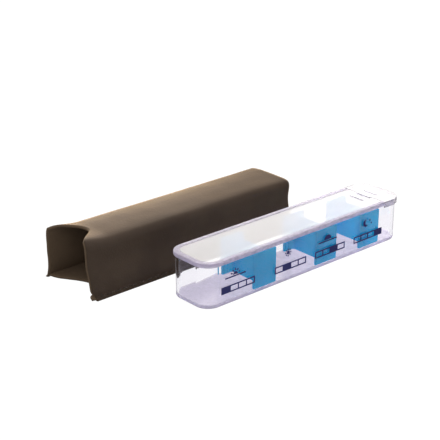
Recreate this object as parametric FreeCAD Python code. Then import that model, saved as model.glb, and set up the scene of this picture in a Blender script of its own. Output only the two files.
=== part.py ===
import FreeCAD, Part
import math
import os

# Four-dose pill organiser: a clear tray with a sliding lid and three movable
# dividers, and the soft sleeve that it is carried in, lying behind it.
# Millimetres. The origin is the centre of the tray's flat underside,
# +X runs towards the end that the lid opens from, +Y towards the sleeve, +Z up.

FAR = 200.0                   # a cutting solid reaches this far past the part
FLAT = 1e-4                   # two heights closer than this are the same

# ---- tray ----
TRAY_LENGTH = 115.0
TRAY_WIDTH = 23.0
TRAY_HEIGHT = 20.0            # to the top of the lid rails
WALL = 1.2
FLOOR = 1.2
CORNER_R = 6.5
FOOT_ROUND = 0.9              # rounding of the outer bottom edge
CAVITY_ROUND = 0.4            # rounding where the walls meet the floor inside

# ---- lid rails, which run round the top of the tray ----
RAIL_OUT = 0.85               # how far the rail stands out from the wall
RAIL_DEPTH = 1.8              # height of the rail's outer band
RAIL_ROUND = 0.4
RAIL_END_X = 46.0             # the rails stop here and the lid's cap carries on
GROOVE_BOTTOM = 18.6
GROOVE_TOP = 19.5
GROOVE_DEPTH = 0.9            # into the wall, from its inner face
END_LIP = 0.5                 # extra lip over the closed end
END_WALL_TOP = 18.4           # the lid passes over this wall

# ---- sliding lid ----
TONGUE_BOTTOM = 18.7
TONGUE_TOP = 19.4
SIDE_PLAY = 0.1               # tongue to groove, each side
FIELD_TOP = 19.85
FIELD_PLAY = 0.25             # raised field to the rail's lip
CAP_PLAY = 0.15               # cap to the rails and to the walls
CAP_BOTTOM = 17.2
CAP_JOIN = 1.0                # the tongue and the field run this far into the cap
RIB_XS = (40.8, 45.4, 50.0)   # thumb ribs across the lid
RIB_LENGTH = 8.0
RIB_WIDTH = 1.0
RIB_END_R = 0.49              # nearly the full half width
RIB_TOP = 20.3

# ---- dividers: H-shaped, a web across the tray between two flanges along the side walls ----
DIVIDER_WEB_XS = (-25.0, 11.0, 38.0)   # middle of each web
FLANGE_REACH = 6.3            # from the middle of the web to the flange's end
DIVIDER_THICK = 1.0
DIVIDER_HEIGHT = 15.5
DIVIDER_SIDE_PLAY = 0.15
DIVIDER_FLOOR_PLAY = 0.1
DIVIDER_ROUND = 0.45          # outer upright corners and the foot
WEB_FILLET = 1.0              # where the web meets a flange
FLANGE_RIB_R = 0.45
FLANGE_RIB_SHORT = 0.5        # a rib starts and ends this far inside the flange
FLANGE_RIB_OFFSETS = (3.3, 5.5)   # ribs on each half of a flange, from the web

# ---- printed marks on the front wall ----
INK = 0.12
STROKE = 0.55
LABEL_LEFT_XS = (-49.7, -20.3, 3.3, 27.2)
BAR_BOTTOM = 5.1
BAR_HEIGHT = 3.1
BAR_CELLS = 4
BAR_CELL_WIDTH = 4.4
SIGN_BOTTOM = 11.3
SIGN_HEIGHT = 3.2
SIGN_CENTRE = 7.5             # from the mark's left edge
HORIZON_HALF = 5.5
SUN_LIFT = 0.3                # low sun above its horizon line
RISING_SUN_R = 1.25
RISING_RAY = (1.7, 2.6)       # a ray starts and ends at these distances
RISING_RAY_ANGLES = (20, 55, 90, 125, 160)
NOON_SUN_R = 0.85
NOON_RAY = (1.15, 1.75)
SETTING_SUN_R = 2.1
MOON_R = 1.65
MOON_BITE_R = 1.35
MOON_BITE_X = 0.95            # centre of the disc that is cut from the moon
MOON_BITE_Z = 0.35
STAR_R = 0.4
STARS = ((2.6, 0.9), (3.6, -0.6))

# ---- sleeve, a soft tube open at both ends ----
SLEEVE_LEFT = -85.6
SLEEVE_LENGTH = 113.4
SLEEVE_FRONT = 29.8           # front side above the waist
SLEEVE_BACK = 57.0
SLEEVE_TOP = 23.2
SLEEVE_CORNER_R = 3.5
CLOTH = 1.2
WAIST_Z = 10.5                # the front side flares out below this height
FRONT_FIN_Y = 25.0            # tip of the front seam allowance
BACK_FIN_Y = 59.2
BACK_FIN_RISE = 4.0           # the back side flares out below this height
STRIP_TOP = 1.6               # inner face of the bottom strip
STRIP_THICK = 1.2
NOTCH_R = 11.8                # thumb notches in the top and the bottom
NOTCH_DEPTH_TOP = 11.5
NOTCH_DEPTH_BOTTOM = 9.5
NOTCH_Y = 44.8
STITCH_PITCH = 4.0
STITCH_LENGTH = 2.8
STITCH_GAP = 0.12             # thread to cloth
STITCH_R = 0.25
STITCH_Z = 1.5


def vec(x, y, z=0.0):
    return FreeCAD.Vector(x, y, z)


def rounded_outline(x0, x1, y0, y1, r, z):
    """Closed wire of a rectangle with round corners, at height z."""
    edges = []
    corners = [(x1 - r, y1 - r, 0), (x0 + r, y1 - r, 90), (x0 + r, y0 + r, 180), (x1 - r, y0 + r, 270)]
    arcs = [Part.makeCircle(r, vec(cx, cy, z), vec(0, 0, 1), a, a + 90) for cx, cy, a in corners]
    for here, there in zip(arcs, arcs[1:] + arcs[:1]):
        edges.append(here)
        edges.append(Part.makeLine(here.lastVertex().Point, there.firstVertex().Point))
    return Part.Wire(Part.__sortEdges__(edges))


def rounded_prism(x0, x1, y0, y1, r, z0, z1):
    face = Part.Face(rounded_outline(x0, x1, y0, y1, r, z0))
    return face.extrude(vec(0, 0, z1 - z0))


def box(x0, x1, y0, y1, z0, z1):
    return Part.makeBox(x1 - x0, y1 - y0, z1 - z0, vec(x0, y0, z0))


def edges_at(shape, z):
    """The shape's edges that lie flat at height z."""
    flat = []
    for edge in shape.Edges:
        limits = edge.BoundBox
        if abs(limits.ZMin - z) < FLAT and abs(limits.ZMax - z) < FLAT:
            flat.append(edge)
    return flat


def tray_prism(grow, z0, z1, x_end=None):
    """Prism on the tray's outline, grown by grow; x_end moves its +X end."""
    half_x = TRAY_LENGTH / 2 + grow
    half_y = TRAY_WIDTH / 2 + grow
    right = half_x if x_end is None else x_end
    return rounded_prism(-half_x, right, -half_y, half_y, CORNER_R + grow, z0, z1)


def make_tray():
    shell = tray_prism(0, 0, END_WALL_TOP)
    shell = shell.makeFillet(FOOT_ROUND, edges_at(shell, 0))
    rail_z = TRAY_HEIGHT - RAIL_DEPTH
    rail = tray_prism(RAIL_OUT, rail_z, TRAY_HEIGHT)
    rail = rail.makeFillet(RAIL_ROUND, edges_at(rail, rail_z) + edges_at(rail, TRAY_HEIGHT))
    rail = rail.common(box(-FAR, RAIL_END_X, -FAR, FAR, rail_z, TRAY_HEIGHT))
    cavity = tray_prism(-WALL, FLOOR, GROOVE_BOTTOM)
    cavity = cavity.makeFillet(CAVITY_ROUND, edges_at(cavity, FLOOR))
    groove = tray_prism(GROOVE_DEPTH - WALL, GROOVE_BOTTOM, GROOVE_TOP, FAR)
    half_y = TRAY_WIDTH / 2 - WALL
    window = rounded_prism(-TRAY_LENGTH / 2 + WALL + END_LIP, FAR, -half_y, half_y,
                           CORNER_R - WALL, GROOVE_TOP, TRAY_HEIGHT + 1)
    tray = shell.fuse(rail).cut(cavity).cut(groove).cut(window)
    return tray.removeSplitter()


def make_lid():
    cap_x = RAIL_END_X + CAP_PLAY
    tongue = tray_prism(GROOVE_DEPTH - WALL - SIDE_PLAY, TONGUE_BOTTOM, TONGUE_TOP, FAR)
    tongue = tongue.common(box(-FAR, cap_x + CAP_JOIN, -FAR, FAR, 0, FAR))
    half_y = TRAY_WIDTH / 2 - WALL - FIELD_PLAY
    field = rounded_prism(-TRAY_LENGTH / 2 + WALL + END_LIP + FIELD_PLAY, FAR, -half_y, half_y,
                          CORNER_R - WALL - FIELD_PLAY, TONGUE_BOTTOM, FIELD_TOP)
    field = field.common(box(-FAR, cap_x + CAP_JOIN, -FAR, FAR, 0, FAR))
    cap = tray_prism(RAIL_OUT, CAP_BOTTOM, TRAY_HEIGHT)
    cap = cap.makeFillet(RAIL_ROUND, edges_at(cap, CAP_BOTTOM) + edges_at(cap, TRAY_HEIGHT))
    cap = cap.common(box(cap_x, FAR, -FAR, FAR, 0, FAR))
    cap = cap.cut(tray_prism(CAP_PLAY, 0, TONGUE_BOTTOM))
    lid = tongue.fuse([field, cap])
    half = RIB_WIDTH / 2
    for x in RIB_XS:
        lid = lid.fuse(rounded_prism(x - half, x + half, -RIB_LENGTH / 2, RIB_LENGTH / 2,
                                     RIB_END_R, TONGUE_TOP, RIB_TOP))
    return lid.removeSplitter()


def make_divider(web_x):
    outer_y = TRAY_WIDTH / 2 - WALL - DIVIDER_SIDE_PLAY
    inner_y = outer_y - DIVIDER_THICK
    z0 = FLOOR + DIVIDER_FLOOR_PLAY
    z1 = z0 + DIVIDER_HEIGHT
    divider = rounded_prism(web_x - FLANGE_REACH, web_x + FLANGE_REACH, -outer_y, outer_y, DIVIDER_ROUND, z0, z1)
    divider = divider.makeFillet(DIVIDER_ROUND, edges_at(divider, z0))
    half = DIVIDER_THICK / 2
    divider = divider.cut(rounded_prism(web_x + half, FAR, -inner_y, inner_y, WEB_FILLET, 0, FAR))
    divider = divider.cut(rounded_prism(-FAR, web_x - half, -inner_y, inner_y, WEB_FILLET, 0, FAR))
    for side in (-1, 1):
        for offset in FLANGE_RIB_OFFSETS:
            for x in (web_x - offset, web_x + offset):
                rib = Part.makeCylinder(FLANGE_RIB_R, DIVIDER_HEIGHT - 2 * FLANGE_RIB_SHORT,
                                        vec(x, side * inner_y, z0 + FLANGE_RIB_SHORT))
                divider = divider.fuse(rib)
    return divider.removeSplitter()


def ink(face_shape):
    """Flat XZ face, drawn at y = 0, as a film of ink on the front wall."""
    solid = face_shape.extrude(vec(0, -INK, 0))
    solid.translate(vec(0, -TRAY_WIDTH / 2, 0))
    return solid


def ink_polygon(points):
    wire = Part.makePolygon([vec(x, 0, z) for x, z in points + points[:1]])
    return ink(Part.Face(wire))


def ink_disc(x, z, r):
    wire = Part.Wire(Part.makeCircle(r, vec(x, 0, z), vec(0, 1, 0)))
    return ink(Part.Face(wire))


def ink_bar(x0, x1, z0, z1):
    return ink_polygon([(x0, z0), (x1, z0), (x1, z1), (x0, z1)])


def ink_ray(x, z, degrees, r0, r1):
    """A stroke that points away from (x, z)."""
    a = math.radians(degrees)
    along = (math.cos(a), math.sin(a))
    half = STROKE / 2
    points = []
    for r, side in ((r0, -1), (r1, -1), (r1, 1), (r0, 1)):
        points.append((x + r * along[0] - side * half * along[1], z + r * along[1] + side * half * along[0]))
    return ink_polygon(points)


def dose_bar(left, filled):
    """Four cells in a row; the one for this dose of the day is filled."""
    top = BAR_BOTTOM + BAR_HEIGHT
    bar = ink_bar(left, left + BAR_CELLS * BAR_CELL_WIDTH + STROKE, BAR_BOTTOM, top)
    for k in range(BAR_CELLS):
        if k == filled:
            continue
        x = left + k * BAR_CELL_WIDTH + STROKE
        window = ink_bar(x, x + BAR_CELL_WIDTH - STROKE, BAR_BOTTOM + STROKE, top - STROKE)
        bar = bar.cut(window)
    return bar


def low_sun(x, r):
    """A half disc that stands on its horizon line."""
    z = SIGN_BOTTOM + STROKE + SUN_LIFT
    below = box(x - FAR, x + FAR, -FAR, FAR, -FAR, z)
    horizon = ink_bar(x - HORIZON_HALF, x + HORIZON_HALF, SIGN_BOTTOM, SIGN_BOTTOM + STROKE)
    return [horizon, ink_disc(x, z, r).cut(below)]


def sign_morning(x):
    z = SIGN_BOTTOM + STROKE + SUN_LIFT
    return low_sun(x, RISING_SUN_R) + [ink_ray(x, z, a, *RISING_RAY) for a in RISING_RAY_ANGLES]


def sign_noon(x):
    z = SIGN_BOTTOM + SIGN_HEIGHT / 2
    return [ink_disc(x, z, NOON_SUN_R)] + [ink_ray(x, z, a, *NOON_RAY) for a in range(0, 360, 45)]


def sign_evening(x):
    return low_sun(x, SETTING_SUN_R)


def sign_night(x):
    z = SIGN_BOTTOM + SIGN_HEIGHT / 2
    moon = ink_disc(x, z, MOON_R).cut(ink_disc(x + MOON_BITE_X, z + MOON_BITE_Z, MOON_BITE_R))
    return [moon] + [ink_disc(x + dx, z + dz, STAR_R) for dx, dz in STARS]


def sleeve_outline(inset):
    """Closed YZ face of the sleeve's cross-section; inset brings its sides and
    top inwards and leaves its underside."""
    r = SLEEVE_CORNER_R - inset
    front = SLEEVE_FRONT + inset
    back = SLEEVE_BACK - inset
    top = SLEEVE_TOP - inset
    low_front = vec(0, FRONT_FIN_Y + inset, 0)
    low_back = vec(0, BACK_FIN_Y - inset, 0)
    waist = vec(0, front, WAIST_Z)
    back_knee = vec(0, back, BACK_FIN_RISE)
    half = r * (1 - math.sqrt(0.5))
    arc_front = Part.Arc(vec(0, front, top - r), vec(0, front + half, top - half), vec(0, front + r, top))
    arc_back = Part.Arc(vec(0, back - r, top), vec(0, back - half, top - half), vec(0, back, top - r))
    lines = [(low_front, waist), (waist, vec(0, front, top - r)), (vec(0, front + r, top), vec(0, back - r, top)),
             (vec(0, back, top - r), back_knee), (back_knee, low_back), (low_back, low_front)]
    edges = [Part.makeLine(a, b) for a, b in lines] + [arc_front.toShape(), arc_back.toShape()]
    return Part.Face(Part.Wire(Part.__sortEdges__(edges)))


def along_sleeve(face, reach=0.0):
    """Extrude a YZ face over the sleeve's length, past each end by reach."""
    solid = face.extrude(vec(SLEEVE_LENGTH + 2 * reach, 0, 0))
    solid.translate(vec(SLEEVE_LEFT - reach, 0, 0))
    return solid


def thumb_notch(depth, z0, z1):
    """Cylinder that cuts a half-moon of this depth into the sleeve's -X end."""
    centre_x = SLEEVE_LEFT + depth - NOTCH_R
    return Part.makeCylinder(NOTCH_R, z1 - z0, vec(centre_x, NOTCH_Y, z0))


def make_sleeve_wrap():
    tube = along_sleeve(sleeve_outline(0)).cut(along_sleeve(sleeve_outline(CLOTH), 1))
    return tube.cut(thumb_notch(NOTCH_DEPTH_TOP, SLEEVE_TOP / 2, SLEEVE_TOP + 1)).removeSplitter()


def make_sleeve_strip():
    inside = along_sleeve(sleeve_outline(CLOTH))
    slab = inside.common(box(-FAR, FAR, 0, FAR, 0, STRIP_TOP))
    under = along_sleeve(sleeve_outline(CLOTH + STRIP_THICK), 1)
    under = under.common(box(-FAR, FAR, 0, FAR, -FAR, STRIP_TOP - STRIP_THICK))
    return slab.cut(under).cut(thumb_notch(NOTCH_DEPTH_BOTTOM, -1, SLEEVE_TOP / 2)).removeSplitter()


def fin_y(front, z):
    """Outer face of the seam allowance at height z."""
    if front:
        return FRONT_FIN_Y + (SLEEVE_FRONT - FRONT_FIN_Y) * z / WAIST_Z
    return BACK_FIN_Y + (SLEEVE_BACK - BACK_FIN_Y) * z / BACK_FIN_RISE


def make_stitches(front):
    """A row of thread stitches on the outside of one seam allowance."""
    out = -1 if front else 1
    y = fin_y(front, STITCH_Z) + out * (STITCH_R + STITCH_GAP)
    count = int((SLEEVE_LENGTH - STITCH_LENGTH) // STITCH_PITCH)
    first = SLEEVE_LEFT + (SLEEVE_LENGTH - (count - 1) * STITCH_PITCH) / 2
    stitches = []
    for k in range(count):
        x = first + k * STITCH_PITCH - STITCH_LENGTH / 2
        stitches.append(Part.makeCylinder(STITCH_R, STITCH_LENGTH, vec(x, y, STITCH_Z), vec(1, 0, 0)))
    return Part.makeCompound(stitches)


def build():
    nodes = {"tray": make_tray(), "sliding_lid": make_lid()}
    for number, web_x in enumerate(DIVIDER_WEB_XS, 1):
        nodes["divider_%d" % number] = make_divider(web_x)
    signs = (("morning", sign_morning), ("noon", sign_noon), ("evening", sign_evening), ("night", sign_night))
    for k, (name, sign) in enumerate(signs):
        left = LABEL_LEFT_XS[k]
        pieces = sign(left + SIGN_CENTRE) + [dose_bar(left, k)]
        nodes["mark_" + name] = Part.makeCompound(pieces)
    nodes["sleeve_wrap"] = make_sleeve_wrap()
    nodes["sleeve_bottom_strip"] = make_sleeve_strip()
    nodes["front_seam_stitches"] = make_stitches(True)
    nodes["back_seam_stitches"] = make_stitches(False)
    return nodes


os.makedirs("parts", exist_ok=True)
for name, shape in build().items():
    for solid in shape.Solids:
        assert solid.isValid() and solid.isClosed(), name
    shape.exportStep("parts/%s.step" % name)
    limits = shape.BoundBox
    print("%-22s solids %3d  volume %9.2f  x %7.2f..%7.2f  y %6.2f..%6.2f  z %5.2f..%5.2f" % (
        name, len(shape.Solids), shape.Volume, limits.XMin, limits.XMax,
        limits.YMin, limits.YMax, limits.ZMin, limits.ZMax))
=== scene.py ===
import math

import bpy
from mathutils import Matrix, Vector, noise


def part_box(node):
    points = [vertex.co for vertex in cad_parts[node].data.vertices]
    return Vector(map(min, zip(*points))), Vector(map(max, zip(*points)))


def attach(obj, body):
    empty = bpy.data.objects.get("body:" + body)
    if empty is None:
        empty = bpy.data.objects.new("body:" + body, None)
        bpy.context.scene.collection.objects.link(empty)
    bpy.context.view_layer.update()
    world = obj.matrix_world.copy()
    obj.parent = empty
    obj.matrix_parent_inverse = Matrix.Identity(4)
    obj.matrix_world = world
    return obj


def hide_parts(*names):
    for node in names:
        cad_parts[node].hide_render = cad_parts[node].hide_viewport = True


# A clear four-dose pill organiser and the soft sleeve that it is carried in.
# Metres in the frame; lengths named with _MM are millimetres and go through mm().

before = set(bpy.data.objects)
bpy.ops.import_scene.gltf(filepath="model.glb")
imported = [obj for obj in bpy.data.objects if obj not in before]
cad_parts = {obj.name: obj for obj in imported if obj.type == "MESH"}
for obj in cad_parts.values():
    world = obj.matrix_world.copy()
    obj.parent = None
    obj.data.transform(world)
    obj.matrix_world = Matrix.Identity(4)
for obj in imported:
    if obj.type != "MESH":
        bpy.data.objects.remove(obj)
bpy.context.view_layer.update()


def mm(value):
    return value / 1000


# ---- camera, backdrop and light ----
VIEW_AZIMUTH = 41.54          # degrees to the right of +Y that the camera looks along
VIEW_ELEVATION = 22.31        # degrees that it looks down
CAMERA_DISTANCE = 0.520
CAMERA_AIM = Vector((-0.01527, 0.02816, 0.01584))   # between the box and the sleeve
LENS = 98.19
SENSOR = 36.0

FLOOR_SIZE = 6.0
FLOOR_DROP_MM = 0.02          # the floor lies this far below the object
FLOOR_GLOW = 1.02             # the floor is a light table
FLOOR_ALBEDO = 0.04
FLOOR_DIM = 0.25              # its albedo as the object's faces mirror it
STUDIO_COLOUR = (1.0, 0.955, 0.90, 1)
BACK_LIGHT = 6.2              # radiance low behind the object
BACK_SIDES = (0.2, 0.8)       # the backdrop fades in from the sides between these
BACK_HEIGHTS = (0.72, 0.10)   # and from above between these
TOP_LIGHT = 0.8
FRONT_LIGHT = 0.5
FRONT_TO_TOP = (-0.4, 0.8)    # the rest of the studio brightens between these

# ---- clear plastic ----
CLEAR_TINT = (0.995, 0.993, 1.0, 1)
MILKY_TINT = (0.90, 0.87, 0.97, 1)
LOW_MILK = (0.82, 0.78, 0.90, 1)        # light scattered in the tray's foot
HIGH_MILK = (0.93, 0.89, 0.99, 1)       # and in its rails and the lid
MILK_SHARE = (0.42, 0.6)                # of the light, least and most scuffed
MILK_ROUGHNESS = 0.12
SCUFF_ROUGHNESS = (0.015, 0.10)
FOOT_TOP_MM = (1.7, 1.3)                # the milky foot fades in between these heights
RAIL_BELOW_TOP_MM = (2.2, 1.9)          # and the rails between these depths
CLEAR_IOR = 1.45
CLEAR_DEPTH = ((0.5, 0.45, 0.75, 1), 45.0)      # colour and density of its thickness
EDGE_PAINTED_SHADE_GREY = (0.52, 0.475, 0.55, 1)      # painted shade for light that is trapped in a rounded edge
EDGE_PAINTED_SHADE_SHARE = 0.65
# painted reflection and dimming: a grey veil over the lid where it is seen aslant
LID_PAINTED_VEIL = (0.70, 0.71, 0.75, 1)
LID_PAINTED_VEIL_SHARE = 0.52
# painted shade: fine dark lines along the lid's back edges
BACK_EDGE_PAINTED_SHADE = (0.10, 0.09, 0.08, 1)
BACK_EDGE_PAINTED_SHADE_SHARE = 0.9

# ---- blue plastic ----
BLUE_TINTS = ((0.14, 0.90, 1.0, 1), (0.10, 0.86, 1.0, 1))
BLUE_SCATTER = (0.005, 0.70, 1.0, 1)
BLUE_SHARE = (0.68, 0.8)      # of the light that is scattered
BLUE_TURNED = 0.55            # of that, the part that comes back out in front
BLUE_IOR = 1.35
BLUE_DEPTH = ((0.0, 0.90, 1.0, 1), 800.0)

# ---- ink, cloth and thread ----
INK_TINTS = ((0.012, 0.016, 0.12, 1), (0.03, 0.035, 0.2, 1))
CLOTH_TINTS = ((0.066, 0.049, 0.040, 1), (0.084, 0.063, 0.050, 1))
CLOTH_WORN = (0.075, 0.055, 0.038, 1)
CLOTH_SHEEN = (1.0, 0.62, 0.25, 1)
CLOTH_IOR = 1.14              # a soft finish with hardly any gloss
CLOTH_PAINTED_SHADE_MM = (-25, 30)     # painted shade: the sheen gives way to matt to the right between these, darkening the top
CLOTH_PAINTED_SHADE_SHARE = 0.42
LINING_TINTS = ((0.100, 0.072, 0.050, 1), (0.190, 0.136, 0.092, 1))
LINING_SHEEN = (1.0, 0.8, 0.62, 1)
THREAD_TINTS = ((0.03, 0.02, 0.014, 1), (0.06, 0.042, 0.03, 1))

# ---- sleeve ----
CLOTH_MM = 1.15
STRIP_CLOTH_MM = CLOTH_MM - 0.1   # the strip is pressed a little thinner
WRAP_GRID = (150, 110)        # rows of points round the section, and along the sleeve
STRIP_GRID = (70, 110)
SECTION_STEPS = 8             # from one section point to the next
STRIP_SECTION_STEPS = 10
WAVE_MM = 0.22                # long soft waves in the cloth
WAVE_SPANS_MM = (34, 17)      # their size along the sleeve and round it
RIPPLE_MM = 0.06              # short ones
RIPPLE_SPANS_MM = (9, 6)
WAVE_START_MM = 3             # both kinds set in over this height above the table
SEAM_Z_MM = 1.5
SEAM_GROOVE_MM = 0.28
SEAM_GROOVE_HALF_MM = 0.9
SEAM_STITCH_PULL = 0.25       # share of the groove that comes and goes with the stitches
CUT_WOBBLE_MM = 0.18          # unevenness of the wrap's cut ends
CUT_WOBBLE_SPAN_MM = 5
STRIP_WOBBLE_MM = 0.2         # and of the strip's left end
STRIP_WOBBLE_SPAN_MM = 3
EDGE_BULGE = 0.3              # of the thickness, by which a cut edge is rounded
WRAP_WORN_MM = 2.5            # width of the rubbed band along an edge
STRIP_WORN_MM = 2.0
NOTCH_DEPTH_MM = 11.3
NOTCH_FRONT_Z_MM = 23.6       # height on the front side where the half-moon starts
NOTCH_BACK_Z_MM = 22.9        # and on the back side where it ends
NOTCH_POWER = (1.6, 0.75)     # how its two halves open: front, back
FRONT_SETBACK_MM = 1.1        # the front side is cut a little shorter than the back
SETBACK_Z_MM = 9              # fully so from this height
CORNER_TRIM_X_MM = 2.2        # the lower front corner of the opening is snipped off
CORNER_TRIM_Z_MM = 4.2
STRIP_SETBACK_MM = 0.2        # the strip ends this far inside the wrap
STRIP_NOTCH_DEPTH_MM = 9.4
STRIP_NOTCH_MM = (27.5, 58.0)  # it reaches from this y to this one
STRIP_NOTCH_SKEW = 0.7        # below 1, its deepest point is nearer the front
STRIP_NOTCH_POWER = 1.3
STRIP_LIFT_MM = 0.08          # how far the strip's waves lift it
STRIP_WAVE_SPANS_MM = (12, 8)  # their size along the sleeve and across it
STITCH_PITCH_MM = 4.0
STITCH_LENGTH_MM = 2.8
STITCH_STEPS = 14
STITCH_DIP_MM = 0.5           # both ends of a stitch go into the cloth
STITCH_TURNS = 1.6            # twist of its two plies
PLY_OFFSET_MM = 0.1           # from the middle of the thread
PLY_RADIUS_MM = 0.13
PLY_SIDES = 7
PLY_END = 0.55                # share of the radius that is left at a ply's ends
OFF_THREAD = Vector((0.3, 0.5, 0.81))   # a direction that no thread runs along

# The sleeve's cross-section from the tip of the front seam, over the top, to
# the tip of the back seam, as (y, z) in millimetres. At its left end, where the
# notch frees the cloth, both sides stand up straighter than the folded top.
SECTION_LEFT = [
    (25.0, 0.0), (25.8, 1.5), (27.3, 5.4), (28.6, 8.6), (29.9, 12.8), (30.3, 17.0),
    (30.3, 20.4), (30.9, 22.9), (32.6, 24.4), (38.0, 24.6), (44.5, 24.4), (50.0, 24.3),
    (54.4, 23.9), (56.4, 22.4), (57.1, 19.8), (57.3, 16.5), (57.1, 12.0), (56.8, 7.0),
    (57.2, 3.6), (58.2, 1.5), (59.3, 0.0),
]
SECTION_MIDDLE = [
    (25.0, 0.0), (25.8, 1.5), (27.3, 5.4), (28.7, 8.7), (29.9, 12.8), (30.1, 17.0),
    (30.3, 20.3), (31.5, 22.2), (34.3, 22.9), (39.5, 23.2), (44.5, 23.3), (49.5, 23.1),
    (53.7, 22.5), (56.1, 21.0), (56.9, 18.7), (57.1, 16.5), (57.0, 12.0), (56.8, 7.0),
    (57.2, 3.6), (58.2, 1.5), (59.3, 0.0),
]
SECTION_RIGHT = [
    (25.0, 0.0), (25.8, 1.5), (27.4, 5.4), (28.9, 8.8), (29.9, 12.5), (29.9, 16.5),
    (29.3, 20.7), (30.0, 22.5), (32.8, 23.2), (39.0, 23.4), (44.5, 23.4), (49.5, 23.15),
    (53.4, 22.6), (55.9, 21.2), (56.7, 18.8), (57.0, 16.5), (56.9, 12.0), (56.8, 7.0),
    (57.2, 3.6), (58.2, 1.5), (59.3, 0.0),
]
LEFT_SHARE = 0.13             # of the length, over which the left end settles
RIGHT_SHARE = 0.3             # and the right end
# The bottom strip's section, as the distance in from its nearer edge and the height.
STRIP_FRONT = [(0.3, 0.1), (1.2, 0.75), (3.2, 0.35), (7, 0.12)]
STRIP_MIDDLE_Z_MM = 0.1
STRIP_BACK = [(6, 0.12), (2.6, 0.35), (1.1, 0.7), (0.3, 0.1)]


def lerp(a, b, t):
    return a + (b - a) * t


def smooth(t):
    t = min(max(t, 0.0), 1.0)
    return t * t * (3 - 2 * t)


# ---------------------------------------------------------------- camera

def make_camera():
    """The camera, with the direction that it looks in."""
    azimuth, elevation = math.radians(VIEW_AZIMUTH), math.radians(VIEW_ELEVATION)
    forward = Vector((math.sin(azimuth) * math.cos(elevation),
                      math.cos(azimuth) * math.cos(elevation), -math.sin(elevation)))
    data = bpy.data.cameras.new("camera")
    data.sensor_width = SENSOR
    data.lens = LENS
    data.clip_start, data.clip_end = 0.01, 20
    camera = bpy.data.objects.new("camera", data)
    bpy.context.scene.collection.objects.link(camera)
    camera.location = CAMERA_AIM - forward * CAMERA_DISTANCE
    camera.rotation_mode = "QUATERNION"
    camera.rotation_quaternion = forward.to_track_quat("-Z", "Y")
    bpy.context.scene.camera = camera
    return forward


# ---------------------------------------------------------------- node helper

class Nodes:
    """Short calls for building one node tree."""

    def __init__(self, tree):
        self.tree = tree
        tree.nodes.clear()

    def add(self, kind, *links, **settings):
        """New node; links are (input, socket or value), settings are its properties."""
        node = self.tree.nodes.new(kind)
        for name, value in settings.items():
            setattr(node, name, value)
        for key, value in links:
            self.put(node.inputs[key], value)
        return node

    def put(self, socket, value):
        if isinstance(value, bpy.types.NodeSocket):
            self.tree.links.new(value, socket)
        else:
            socket.default_value = value

    def math(self, operation, a, b=0.0, clamp=False):
        node = self.add("ShaderNodeMath", (0, a), (1, b), operation=operation, use_clamp=clamp)
        return node.outputs[0]

    def span(self, value, low, high, to_low=0.0, to_high=1.0):
        """value from low..high to to_low..to_high, smoothly."""
        node = self.add("ShaderNodeMapRange", (0, value), (1, low), (2, high),
                        (3, to_low), (4, to_high), interpolation_type="SMOOTHSTEP")
        return node.outputs[0]

    def part(self, vector, axis):
        return self.add("ShaderNodeSeparateXYZ", (0, vector)).outputs[axis]

    def along(self, vector, direction):
        node = self.add("ShaderNodeVectorMath", (0, vector), (1, direction),
                        operation="DOT_PRODUCT")
        return node.outputs["Value"]

    def colour(self, factor, a, b):
        """Two colours mixed; a mix node's colours are inputs 6 and 7 and output 2."""
        node = self.add("ShaderNodeMix", (0, factor), (6, a), (7, b), data_type="RGBA")
        return node.outputs[2]

    def noise(self, where, scale, detail, roughness=0.5):
        """Noise with about scale spots to the metre."""
        node = self.add("ShaderNodeTexNoise", ("Vector", where), ("Scale", scale),
                        ("Detail", detail), ("Roughness", roughness))
        return node.outputs[0]

    def bump(self, strength, distance_mm, height):
        node = self.add("ShaderNodeBump", ("Strength", strength), ("Distance", mm(distance_mm)),
                        ("Height", height))
        return node.outputs[0]

    def principled(self, *links):
        return self.add("ShaderNodeBsdfPrincipled", *links).outputs[0]

    def diffuse(self, *links):
        return self.add("ShaderNodeBsdfDiffuse", *links).outputs[0]

    def layer(self, share, below, above):
        """Two shaders mixed; share is how much of above there is."""
        return self.add("ShaderNodeMixShader", (0, share), (1, below), (2, above)).outputs[0]

    def finish(self, surface, depth=None):
        """Output; depth is the colour and density of the material's thickness."""
        output = self.add("ShaderNodeOutputMaterial", ("Surface", surface))
        if depth:
            volume = self.add("ShaderNodeVolumeAbsorption", ("Color", depth[0]),
                              ("Density", depth[1]))
            self.put(output.inputs["Volume"], volume.outputs[0])


def new_material(name):
    """A material, its nodes, and the place on the object that they shade."""
    material = bpy.data.materials.new(name)
    material.use_nodes = True
    n = Nodes(material.node_tree)
    return material, n, n.add("ShaderNodeTexCoord").outputs["Object"]


# ---------------------------------------------------------------- stage

def make_world(forward):
    """White studio: a bright backdrop low behind the object, dim behind the camera."""
    world = bpy.data.worlds.new("studio")
    bpy.context.scene.world = world
    world.use_nodes = True
    n = Nodes(world.node_tree)
    where = n.add("ShaderNodeTexCoord").outputs["Generated"]
    level = Vector((forward.x, forward.y, 0)).normalized()
    behind = n.along(where, level)
    height = n.part(where, "Z")
    back = n.math("MULTIPLY", n.span(behind, *BACK_SIDES), n.span(height, *BACK_HEIGHTS))
    rise = n.math("ADD", height, n.math("MULTIPLY", behind, 0.5))
    base = n.span(rise, *FRONT_TO_TOP, FRONT_LIGHT, TOP_LIGHT)
    strength = n.math("ADD", base, n.math("MULTIPLY", back, BACK_LIGHT - TOP_LIGHT))
    shader = n.add("ShaderNodeBackground", ("Color", STUDIO_COLOUR), ("Strength", strength))
    n.add("ShaderNodeOutputWorld", ("Surface", shader.outputs[0]))


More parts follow.
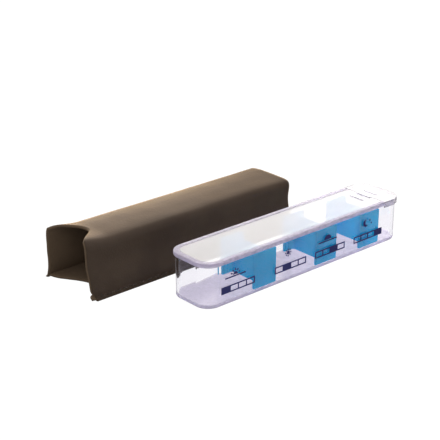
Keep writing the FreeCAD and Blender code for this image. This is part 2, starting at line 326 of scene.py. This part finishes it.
def make_floor():
    """A flat white light table, dimmer where the object's faces mirror it."""
    half = FLOOR_SIZE / 2
    mesh = bpy.data.meshes.new("floor")
    corners = [(-half, -half, 0), (half, -half, 0), (half, half, 0), (-half, half, 0)]
    mesh.from_pydata(corners, [], [(0, 1, 2, 3)])
    floor = bpy.data.objects.new("floor", mesh)
    bpy.context.scene.collection.objects.link(floor)
    floor.location.z = -mm(FLOOR_DROP_MM)
    material, n, _ = new_material("floor_white")
    mirrored = n.add("ShaderNodeLightPath").outputs["Is Reflection Ray"]
    tint = n.colour(mirrored, (FLOOR_ALBEDO,) * 3 + (1,), (FLOOR_DIM,) * 3 + (1,))
    glow = n.math("MULTIPLY", n.math("SUBTRACT", 1.0, mirrored), FLOOR_GLOW)
    n.finish(n.principled(("Base Color", tint), ("Roughness", 0.9), ("Specular IOR Level", 0.0),
                          ("Emission Color", (1, 1, 1, 1)), ("Emission Strength", glow)))
    mesh.materials.append(material)


# ---------------------------------------------------------------- materials

def scattering(n, clear, tint, share, turned=0.0):
    """A see-through shader with part of its light scattered inside the plastic;
    turned is the part of that which comes back out on the side that it went in."""
    onward = n.add("ShaderNodeBsdfTranslucent", ("Color", tint)).outputs[0]
    back = n.diffuse(("Color", tint))
    return n.layer(share, clear, n.layer(turned, onward, back))


def near_foot_and_rim(n, where):
    """1 along the tray's foot and along its lid rails."""
    height = n.part(where, "Z")
    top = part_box("tray")[1].z
    foot = n.span(height, *[mm(z) for z in FOOT_TOP_MM])
    rim = n.span(height, *[top - mm(depth) for depth in RAIL_BELOW_TOP_MM])
    return n.math("ADD", foot, rim, clamp=True)


def upright_faces(n, where):
    """1 on the lid's edges and on the cap's sides, told by the way they face alone."""
    normal = n.add("ShaderNodeTexCoord").outputs["Normal"]
    upward = n.math("ABSOLUTE", n.part(normal, "Z"))
    return n.span(upward, 0.995, 0.94)


def back_edges(n):
    """1 on the rounded upper edges that are turned to +X and +Y, where the lid has painted dark
    lines.
    """
    normal = n.add("ShaderNodeTexCoord").outputs["Normal"]
    turned = n.span(n.along(normal, (0.7, 0.7, 0.0)), 0.03, 0.12)
    return n.math("MULTIPLY", turned, n.span(n.part(normal, "Z"), 0.3, 0.55))


def clear_plastic(name, milky_where, is_lid):
    """Clear moulded plastic, faint lilac in its thickness and finely scuffed, milky
    where milky_where says, and with painted shade greying its rounded edges seen
    edge-on. A lid also gets a painted grey veil for reflection and dimming when it is
    seen aslant, and painted dark lines on its edges at the back."""
    material, n, where = new_material(name)
    milky = milky_where(n, where)
    scuffs = n.noise(where, 420, 4, 0.6)
    roughness = n.math("ADD", n.span(scuffs, 0.45, 0.8, *SCUFF_ROUGHNESS),
                       n.math("MULTIPLY", milky, MILK_ROUGHNESS))
    clear = n.principled(("Base Color", n.colour(milky, CLEAR_TINT, MILKY_TINT)),
                         ("Roughness", roughness), ("IOR", CLEAR_IOR),
                         ("Transmission Weight", 1.0),
                         ("Normal", n.bump(0.04, 0.4, n.noise(where, 60, 1))))
    milk = n.colour(n.span(n.part(where, "Z"), mm(4), mm(15)), LOW_MILK, HIGH_MILK)
    share = n.math("MULTIPLY", milky, n.span(scuffs, 0.3, 0.8, *MILK_SHARE))
    surface = scattering(n, clear, milk, share)
    aslant = n.add("ShaderNodeLayerWeight", ("Blend", 0.5)).outputs["Facing"]
    if is_lid:
        # painted veil over the lid at a slant, standing in for reflection and dimming
        painted_veil = n.diffuse(("Color", LID_PAINTED_VEIL))
        surface = n.layer(n.span(aslant, 0.3, 0.65, 0.0, LID_PAINTED_VEIL_SHARE), surface, painted_veil)
    # painted shade: a grey diffuse mixed in where the plastic is seen edge-on
    edge = n.diffuse(("Color", EDGE_PAINTED_SHADE_GREY))
    surface = n.layer(n.span(aslant, 0.84, 0.97, 0.0, EDGE_PAINTED_SHADE_SHARE), surface, edge)
    if is_lid:
        # painted shade: fine dark lines on the lid's back edges
        line = n.diffuse(("Color", BACK_EDGE_PAINTED_SHADE))
        surface = n.layer(n.math("MULTIPLY", back_edges(n), BACK_EDGE_PAINTED_SHADE_SHARE), surface, line)
    n.finish(surface, CLEAR_DEPTH)
    return material


def blue_plastic():
    """Translucent blue plastic that scatters most of its light."""
    material, n, where = new_material("blue_plastic")
    swirl = n.noise(where, 90, 3, 0.55)
    clear = n.principled(("Base Color", n.colour(swirl, *BLUE_TINTS)),
                         ("Roughness", n.span(swirl, 0.35, 0.75, 0.05, 0.16)),
                         ("IOR", BLUE_IOR), ("Transmission Weight", 1.0),
                         ("Normal", n.bump(0.05, 0.4, swirl)))
    share = n.span(swirl, 0.3, 0.7, *BLUE_SHARE)
    n.finish(scattering(n, clear, BLUE_SCATTER, share, BLUE_TURNED), BLUE_DEPTH)
    return material


def print_ink():
    """Dark blue pad-printed ink, a little uneven."""
    material, n, where = new_material("print_ink")
    mottle = n.noise(where, 1500, 3, 0.6)
    n.finish(n.principled(("Base Color", n.colour(mottle, *INK_TINTS)),
                          ("Roughness", n.span(mottle, 0.3, 0.7, 0.35, 0.55))))
    return material


def sleeve_face():
    """Dark brown grained cloth with a tan sheen, rubbed along its edges, and with
    painted shade that darkens it towards its right end."""
    material, n, where = new_material("sleeve_face")
    pebble = n.add("ShaderNodeTexVoronoi", ("Vector", where), ("Scale", 1500.0),
                   feature="SMOOTH_F1")
    grain = n.noise(where, 2600, 3, 0.6)
    height = n.math("ADD", pebble.outputs["Distance"], n.math("MULTIPLY", grain, 0.5))
    bump = n.bump(0.35, 0.12, height)
    patch = n.noise(where, 45, 3, 0.55)
    body = n.colour(n.span(patch, 0.3, 0.7), *CLOTH_TINTS)
    worn = n.add("ShaderNodeAttribute", attribute_name="worn").outputs["Fac"]
    rub = n.math("MULTIPLY", worn, n.span(n.noise(where, 500, 3, 0.6), 0.35, 0.7), clamp=True)
    tint = n.colour(n.math("MULTIPLY", rub, 0.6), body, CLOTH_WORN)
    uneven = n.math("ADD", grain, n.math("MULTIPLY", patch, 0.5))
    satin = n.principled(("Base Color", tint), ("Roughness", n.span(uneven, 0.4, 1.1, 0.42, 0.6)),
                         ("IOR", CLOTH_IOR), ("Sheen Weight", 1.0), ("Sheen Roughness", 0.28),
                         ("Sheen Tint", CLOTH_SHEEN), ("Normal", bump))
    matt = n.diffuse(("Color", tint), ("Normal", bump))
    # painted shade: the sheen is mixed away towards the right end, darkening the top there
    painted_shade = n.span(n.part(where, "X"), *[mm(x) for x in CLOTH_PAINTED_SHADE_MM], 0.0, CLOTH_PAINTED_SHADE_SHARE)
    n.finish(n.layer(painted_shade, satin, matt))
    return material


def sleeve_lining():
    """The cloth's matt inner side and its cut edges."""
    material, n, where = new_material("sleeve_lining")
    nap = n.noise(where, 2200, 5, 0.7)
    patch = n.noise(where, 70, 3, 0.5)
    tint = n.colour(n.math("MULTIPLY", n.math("ADD", nap, patch), 0.5), *LINING_TINTS)
    n.finish(n.principled(("Base Color", tint), ("Roughness", n.span(nap, 0.3, 0.7, 0.8, 0.95)),
                          ("Specular IOR Level", 0.15), ("Sheen Weight", 0.1),
                          ("Sheen Roughness", 0.5), ("Sheen Tint", LINING_SHEEN),
                          ("Normal", n.bump(0.5, 0.15, nap))))
    return material


def sewing_thread():
    """Matt dark thread with fine fibres."""
    material, n, where = new_material("sewing_thread")
    fibre = n.noise(where, 6000, 4, 0.7)
    n.finish(n.principled(("Base Color", n.colour(fibre, *THREAD_TINTS)),
                          ("Roughness", n.span(fibre, 0.3, 0.7, 0.55, 0.75)),
                          ("Sheen Weight", 0.2), ("Sheen Roughness", 0.4),
                          ("Normal", n.bump(0.4, 0.05, fibre))))
    return material


# ---------------------------------------------------------------- mesh helpers

def new_object(name, points, faces, materials, face_slots=None):
    """A smooth-shaded mesh object in the scene."""
    mesh = bpy.data.meshes.new(name)
    mesh.from_pydata(points, [], faces)
    for material in materials:
        mesh.materials.append(material)
    if face_slots:
        mesh.polygons.foreach_set("material_index", face_slots)
    mesh.polygons.foreach_set("use_smooth", [True] * len(faces))
    mesh.update()
    obj = bpy.data.objects.new(name, mesh)
    bpy.context.scene.collection.objects.link(obj)
    return obj


def spline(points, steps):
    """Points along a smooth line through these 2-D points, steps to a span."""
    line = []
    last = len(points) - 1
    for i in range(last):
        a, b = Vector(points[i]), Vector(points[i + 1])
        before = Vector(points[i - 1]) if i else a * 2 - b
        after = Vector(points[i + 2]) if i + 2 <= last else b * 2 - a
        for k in range(steps):
            t = k / steps
            line.append(0.5 * ((2 * a) + (b - before) * t
                               + (2 * before - 5 * a + 4 * b - after) * t ** 2
                               + (3 * a - before - 3 * b + after) * t ** 3))
    line.append(Vector(points[last]))
    return line


def lengths(line):
    """Distance along a line at each of its points."""
    total = [0.0]
    for a, b in zip(line, line[1:]):
        total.append(total[-1] + (b - a).length)
    return total


def evenly(line, count):
    """count points at equal distances along a line."""
    at = lengths(line)
    points = []
    i = 0
    for k in range(count):
        want = at[-1] * k / (count - 1)
        while i < len(line) - 2 and at[i + 1] < want:
            i += 1
        t = (want - at[i]) / (at[i + 1] - at[i])
        points.append(line[i].lerp(line[i + 1], min(t, 1.0)))
    return points


def normals_of(line):
    """Unit normals of a 2-D line, to the left of its direction."""
    result = []
    for i in range(len(line)):
        a, b = line[max(i - 1, 0)], line[min(i + 1, len(line) - 1)]
        d = (b - a).normalized()
        result.append(Vector((-d.y, d.x)))
    return result


def shell(name, outer, inner, materials, worn_width):
    """Closed cloth shell from two grids of points, [row][column], with rounded cut edges.
    Slot 0 is the outer face; slot 1 is the inner face and the cut edges."""
    rows, columns = len(outer), len(outer[0])
    points = [p for row in outer for p in row] + [p for row in inner for p in row]
    second = rows * columns
    faces, slots = [], []
    for i in range(rows - 1):
        for j in range(columns - 1):
            a, b = i * columns + j, (i + 1) * columns + j
            faces.append((a, a + 1, b + 1, b))
            faces.append((second + a, second + b, second + b + 1, second + a + 1))
            slots += [0, 1]
    rim = [(i, 0) for i in range(rows)] + [(rows - 1, j) for j in range(1, columns)]
    rim += [(i, columns - 1) for i in range(rows - 2, -1, -1)]
    rim += [(0, j) for j in range(columns - 2, 0, -1)]
    first_mid = len(points)
    for i, j in rim:
        inside = outer[min(max(i, 1), rows - 2)][min(max(j, 1), columns - 2)]
        outward = (outer[i][j] - inside).normalized()
        middle = (outer[i][j] + inner[i][j]) / 2
        points.append(middle + outward * (outer[i][j] - inner[i][j]).length * EDGE_BULGE)
    for k, (i, j) in enumerate(rim):
        i2, j2 = rim[(k + 1) % len(rim)]
        a, b = i * columns + j, i2 * columns + j2
        m, m2 = first_mid + k, first_mid + (k + 1) % len(rim)
        faces.append((a, b, m2, m))
        faces.append((m, m2, second + b, second + a))
        slots += [1, 1]
    obj = new_object(name, points, faces, materials, slots)
    worn = obj.data.attributes.new("worn", "FLOAT", "POINT")
    values = [0.0] * len(points)
    for i in range(rows):
        for j in range(columns):
            edges = (outer[i][0], outer[i][-1], outer[0][j], outer[-1][j])
            near = min((outer[i][j] - edge).length for edge in edges)
            values[i * columns + j] = 1 - smooth(near / worn_width)
    worn.data.foreach_set("value", values)
    return obj


def tube(centre, radius, sides, points, faces):
    """Adds a round tube with closed ends along centre to points and faces."""
    start = len(points)
    count = len(centre)
    for i, p in enumerate(centre):
        along = (centre[min(i + 1, count - 1)] - centre[max(i - 1, 0)]).normalized()
        side = along.cross(OFF_THREAD).normalized()
        up = side.cross(along)
        r = radius * (PLY_END if i in (0, count - 1) else 1.0)
        for k in range(sides):
            a = 2 * math.pi * k / sides
            points.append(p + side * (r * math.cos(a)) + up * (r * math.sin(a)))
    for i in range(count - 1):
        for k in range(sides):
            a, b = start + i * sides + k, start + i * sides + (k + 1) % sides
            faces.append((a, b, b + sides, a + sides))
    faces.append(tuple(range(start + sides - 1, start - 1, -1)))
    end = start + (count - 1) * sides
    faces.append(tuple(range(end, end + sides)))


# ---------------------------------------------------------------- sleeve

sleeve_low, sleeve_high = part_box("sleeve_wrap")
SLEEVE_X0 = sleeve_low.x
SLEEVE_X1 = sleeve_high.x
SLEEVE_LENGTH = SLEEVE_X1 - SLEEVE_X0


def section(share):
    """The sleeve's cross-section at this share of its length, as (y, z) in millimetres."""
    left = 1 - smooth(share / LEFT_SHARE)
    right = smooth((share - 1 + RIGHT_SHARE) / RIGHT_SHARE)
    mixed = []
    for a, b, c in zip(SECTION_LEFT, SECTION_MIDDLE, SECTION_RIGHT):
        mixed.append([b[k] + (a[k] - b[k]) * left + (c[k] - b[k]) * right for k in (0, 1)])
    return spline(mixed, SECTION_STEPS)


def wave(x, across_mm, spans_mm, pattern):
    """Noise from -1 to 1 with spots of this size along the sleeve and across it; each
    pattern number gives other spots."""
    return noise.noise(Vector((x / mm(spans_mm[0]), across_mm / spans_mm[1], pattern)))


def cloth_wave(x, along):
    """How far the cloth stands out of its plain section, in millimetres."""
    long = wave(x, along, WAVE_SPANS_MM, 3.7)
    short = wave(x, along, RIPPLE_SPANS_MM, 11.2)
    return WAVE_MM * long + RIPPLE_MM * short


def seam_shape(x, z_mm):
    """The stitches pull the cloth in along the seam, most at each stitch."""
    off = (z_mm - SEAM_Z_MM) / SEAM_GROOVE_HALF_MM
    phase = 2 * math.pi * (x - SLEEVE_X0) / mm(STITCH_PITCH_MM)
    pull = 1 - SEAM_STITCH_PULL + SEAM_STITCH_PULL * math.cos(phase)
    return -SEAM_GROOVE_MM * math.exp(-off * off) * pull


def top_notch(along, start, end):
    """Depth of the half-moon at this distance along the cloth, in millimetres."""
    t = (along - start) / (end - start)
    if not 0 < t < 1:
        return 0.0
    return NOTCH_DEPTH_MM * math.sin(math.pi * t) ** NOTCH_POWER[t > 0.5]


def cut_wobble(along, pattern):
    """How far the wrap's cut end strays at this distance along the cloth."""
    return mm(CUT_WOBBLE_MM) * noise.noise(Vector((along / CUT_WOBBLE_SPAN_MM, pattern, 0)))


def wrap_left_end(i, along, z_mm, start, end):
    """Where the wrap's row i begins, at its half-moon end."""
    left = SLEEVE_X0 + mm(top_notch(along, start, end))
    towards_front = smooth(1 - (along - start) / (end - start) * 2)
    left += mm(FRONT_SETBACK_MM) * towards_front * smooth(z_mm / SETBACK_Z_MM)
    if i < WRAP_GRID[0] / 2 and z_mm < CORNER_TRIM_Z_MM:
        left += mm(CORNER_TRIM_X_MM) * (1 - z_mm / CORNER_TRIM_Z_MM)
    return left + cut_wobble(along, 0)


def make_wrap(materials):
    """The wrap, with its flat width and the half-moon's width in millimetres."""
    rows, columns = WRAP_GRID
    outer, inner = [], []
    sections = []
    for j in range(columns):
        line = evenly(section(j / (columns - 1)), rows)
        sections.append((line, normals_of(line)))
    first, first_at = sections[0][0], lengths(sections[0][0])
    start = next(s for p, s in zip(first, first_at) if p.y > NOTCH_FRONT_Z_MM)
    end = max(s for p, s in zip(first, first_at) if p.y > NOTCH_BACK_Z_MM)
    for i in range(rows):
        along = first_at[i]
        left = wrap_left_end(i, along, first[i].y, start, end)
        right = SLEEVE_X1 + cut_wobble(along, 9)
        outer_row, inner_row = [], []
        for j in range(columns):
            x = lerp(left, right, j / (columns - 1))
            share = (x - SLEEVE_X0) / SLEEVE_LENGTH * (columns - 1)
            k = min(max(int(share), 0), columns - 2)
            f = min(max(share - k, 0.0), 1.0)
            p = sections[k][0][i].lerp(sections[k + 1][0][i], f)
            out = sections[k][1][i].lerp(sections[k + 1][1][i], f).normalized()
            rise = cloth_wave(x, along) * smooth(p.y / WAVE_START_MM) + seam_shape(x, p.y)
            p = p + out * rise
            q = p - out * CLOTH_MM
            outer_row.append(Vector((x, mm(p.x), mm(max(p.y, 0.0)))))
            inner_row.append(Vector((x, mm(q.x), mm(max(q.y, 0.0)))))
        outer.append(outer_row)
        inner.append(inner_row)
    wrap = shell("sleeve_wrap_cloth", outer, inner, materials, mm(WRAP_WORN_MM))
    return wrap, lengths(evenly(section(0.5), rows))[-1], end - start


def make_strip(materials):
    """The bottom strip, flat on the table and turned down at both seams, with its
    flat width in millimetres."""
    low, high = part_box("sleeve_bottom_strip")
    y0, y1 = low.y * 1000, high.y * 1000
    line = [(y0 + inwards, z) for inwards, z in STRIP_FRONT]
    line.append(((y0 + y1) / 2, STRIP_MIDDLE_Z_MM))
    line += [(y1 - inwards, z) for inwards, z in STRIP_BACK]
    rows, columns = STRIP_GRID
    points = evenly(spline(line, STRIP_SECTION_STEPS), rows)
    outs = normals_of(points)
    width = lengths(points)[-1]
    notch_y0, notch_y1 = STRIP_NOTCH_MM
    outer, inner = [], []
    for i in range(rows):
        y_mm = points[i].x
        t = (y_mm - notch_y0) / (notch_y1 - notch_y0)
        left = SLEEVE_X0 + mm(STRIP_SETBACK_MM)
        if 0 < t < 1:
            depth = math.sin(math.pi * t ** STRIP_NOTCH_SKEW) ** STRIP_NOTCH_POWER
            left += mm(STRIP_NOTCH_DEPTH_MM) * depth
        wobble = noise.noise(Vector((y_mm / STRIP_WOBBLE_SPAN_MM, 4, 0)))
        left += mm(STRIP_WOBBLE_MM) * wobble
        outer_row, inner_row = [], []
        for j in range(columns):
            x = lerp(left, SLEEVE_X1 - mm(STRIP_SETBACK_MM), j / (columns - 1))
            lift = STRIP_LIFT_MM * (1 + wave(x, y_mm, STRIP_WAVE_SPANS_MM, 5.1))
            p = points[i] + Vector((0, lift))
            q = p + outs[i] * STRIP_CLOTH_MM
            outer_row.append(Vector((x, mm(p.x), mm(p.y))))
            inner_row.append(Vector((x, mm(q.x), mm(q.y))))
        outer.append(outer_row)
        inner.append(inner_row)
    outer.reverse()
    inner.reverse()
    return shell("sleeve_strip_cloth", outer, inner, materials, mm(STRIP_WORN_MM)), width


def make_stitches(name, node, outward, material):
    """Two-ply stitches along one seam, each dipping into the cloth at both ends."""
    low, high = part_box(node)
    y = (low.y + high.y) / 2
    z = (low.z + high.z) / 2
    count = round((high.x - low.x - mm(STITCH_LENGTH_MM)) / mm(STITCH_PITCH_MM)) + 1
    points, faces = [], []
    for k in range(count):
        start = low.x + k * mm(STITCH_PITCH_MM)
        for ply in (0, math.pi):
            centre = []
            for s in range(STITCH_STEPS + 1):
                t = s / STITCH_STEPS
                dip = (2 * t - 1) ** 4 * mm(STITCH_DIP_MM)
                turn = ply + 2 * math.pi * STITCH_TURNS * t
                centre.append(Vector((start + mm(STITCH_LENGTH_MM) * t,
                                      y - outward * dip + mm(PLY_OFFSET_MM) * math.cos(turn),
                                      z + mm(PLY_OFFSET_MM) * math.sin(turn))))
            tube(centre, mm(PLY_RADIUS_MM), PLY_SIDES, points, faces)
    return new_object(name, points, faces, [material])


# ---------------------------------------------------------------- make it all

forward = make_camera()
make_world(forward)
make_floor()
bpy.context.scene.view_settings.view_transform = "Standard"

finishes = {"tray": clear_plastic("clear_plastic_tray", near_foot_and_rim, False),
            "sliding_lid": clear_plastic("clear_plastic_lid", upright_faces, True)}
blue = blue_plastic()
ink = print_ink()
face = sleeve_face()
lining = sleeve_lining()
thread = sewing_thread()

for number in (1, 2, 3):
    finishes["divider_%d" % number] = blue
for dose in ("morning", "noon", "evening", "night"):
    finishes["mark_" + dose] = ink
for node, finish in finishes.items():
    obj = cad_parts[node]
    obj.data.materials.clear()
    obj.data.materials.append(finish)

wrap, wrap_width, notch_width = make_wrap([face, lining])
strip, strip_width = make_strip([face, lining])
front_stitches = make_stitches("front_stitches", "front_seam_stitches", -1, thread)
back_stitches = make_stitches("back_stitches", "back_seam_stitches", 1, thread)

for piece, node, slot in ((wrap, "sleeve_wrap", "sleeve_cloth"),
                          (strip, "sleeve_bottom_strip", "sleeve_cloth"),
                          (front_stitches, "front_seam_stitches", "thread"),
                          (back_stitches, "back_seam_stitches", "thread")):
    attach(piece, "sleeve")
    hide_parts(node)
